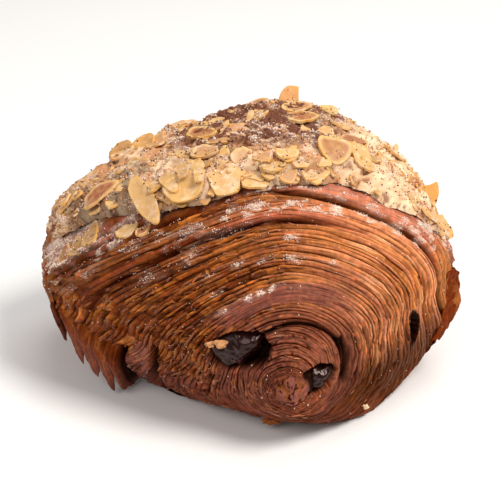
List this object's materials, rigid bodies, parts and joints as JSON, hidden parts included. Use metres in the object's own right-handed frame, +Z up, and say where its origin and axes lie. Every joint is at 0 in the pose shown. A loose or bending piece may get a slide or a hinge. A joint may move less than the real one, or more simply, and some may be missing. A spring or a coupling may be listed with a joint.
{
  "type": "almond croissant",
  "caption": "Rolled, laminated pastry with a domed spiral end, chocolate batons through the roll, and a crust of almond cream, flaked almonds and icing sugar on top.",
  "frame": {"origin": "on the flat underside, below the centre of the bounding box", "axes": "+X across the roll, to the right as seen facing the pictured spiral end; +Y along the roll, away from that end; +Z up"},
  "size_m": [0.1033, 0.1008, 0.0667],
  "materials": {
    "pastry": "baked, flaky, with a slight gloss",
    "chocolate": "melted dark chocolate, glossy",
    "almond_crust": "rough baked almond cream, dusted with sugar"
  },
  "bodies": {
    "root": {"pastry": "pastry", "chocolate_baton_left": "chocolate", "chocolate_baton_right": "chocolate", "almond_crust": "almond_crust"}
  },
  "joints": []
}
